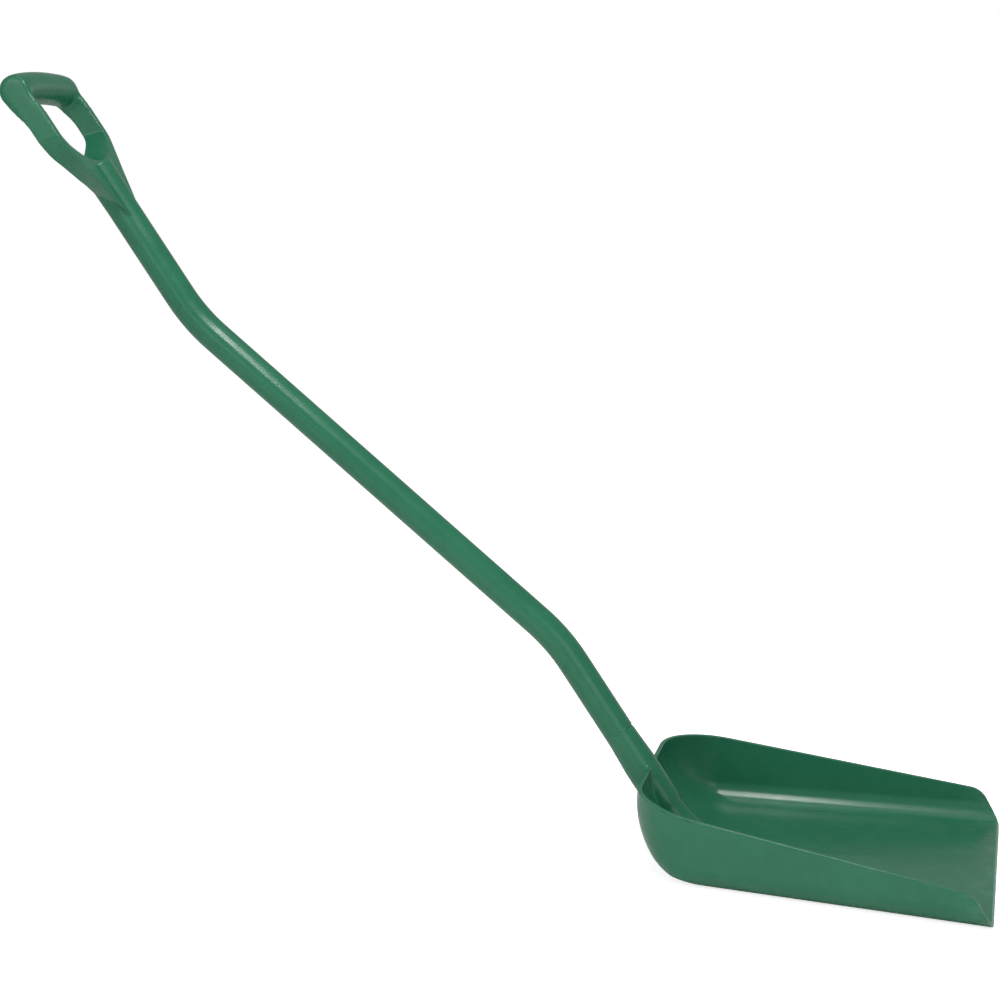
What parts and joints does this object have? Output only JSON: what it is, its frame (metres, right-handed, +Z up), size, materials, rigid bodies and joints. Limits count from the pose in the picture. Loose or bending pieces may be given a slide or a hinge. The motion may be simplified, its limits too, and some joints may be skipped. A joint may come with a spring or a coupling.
{
  "type": "snow shovel",
  "caption": "One-colour moulded shovel: tapered scoop with a straight lip and low side walls, S-bent round shaft and a D-shaped hand grip.",
  "frame": {"origin": "a point on the flat sole in the mirror plane, 200 mm in front of the rearmost line of the heel and 160 mm behind the lip", "axes": "+X along the sole towards the lip, +Y to the left across the scoop (Y = 0 is the mirror plane), +Z up from the sole, with the scoop lying flat"},
  "size_m": [1.0566, 0.3414, 0.7545],
  "materials": {
    "scoop_plastic": "satin moulded polypropylene, green",
    "shaft_plastic": "satin extruded polypropylene, green, with faint drawing marks along it",
    "grip_plastic": "satin moulded polypropylene, green",
    "weld_plastic": "dull weld bead, green"
  },
  "bodies": {
    "root": {"scoop": "scoop_plastic", "shaft_tube": "shaft_plastic", "d_grip": "grip_plastic", "lower_weld_bead": "weld_plastic", "upper_weld_bead": "weld_plastic"}
  },
  "joints": []
}
